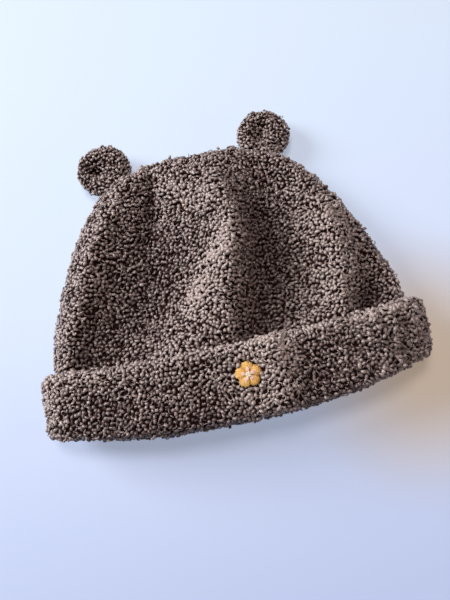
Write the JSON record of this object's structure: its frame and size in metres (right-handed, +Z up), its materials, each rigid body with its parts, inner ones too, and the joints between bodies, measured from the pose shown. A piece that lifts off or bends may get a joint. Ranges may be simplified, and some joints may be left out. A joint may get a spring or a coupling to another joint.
{
  "type": "baby hat with ears",
  "caption": "Slack baby beanie in curly fleece, lying flat: hollow crown, plump turned-up cuff, round padded ears in the top seam and a small stitched flower on the cuff.",
  "frame": {"origin": "middle of the hat's box in plan, on the surface that the hat lies on", "axes": "+X along the flat mouth, towards the right of the picture; +Y from the mouth to the top seam and the ears; +Z up, out of the hat's front with the flower"},
  "size_m": [0.2228, 0.1918, 0.0423],
  "materials": {
    "crown_fleece": "curly pile, warm grey-brown",
    "cuff_fleece": "curly pile, warm grey-brown",
    "ear_fleece": "curly pile, warm grey-brown",
    "embroidery_thread": "satin stitch, gold and pale pink"
  },
  "bodies": {
    "root": {"crown": "crown_fleece", "cuff": "cuff_fleece", "ear_left": "ear_fleece", "ear_right": "ear_fleece", "flower": "embroidery_thread"}
  },
  "joints": []
}
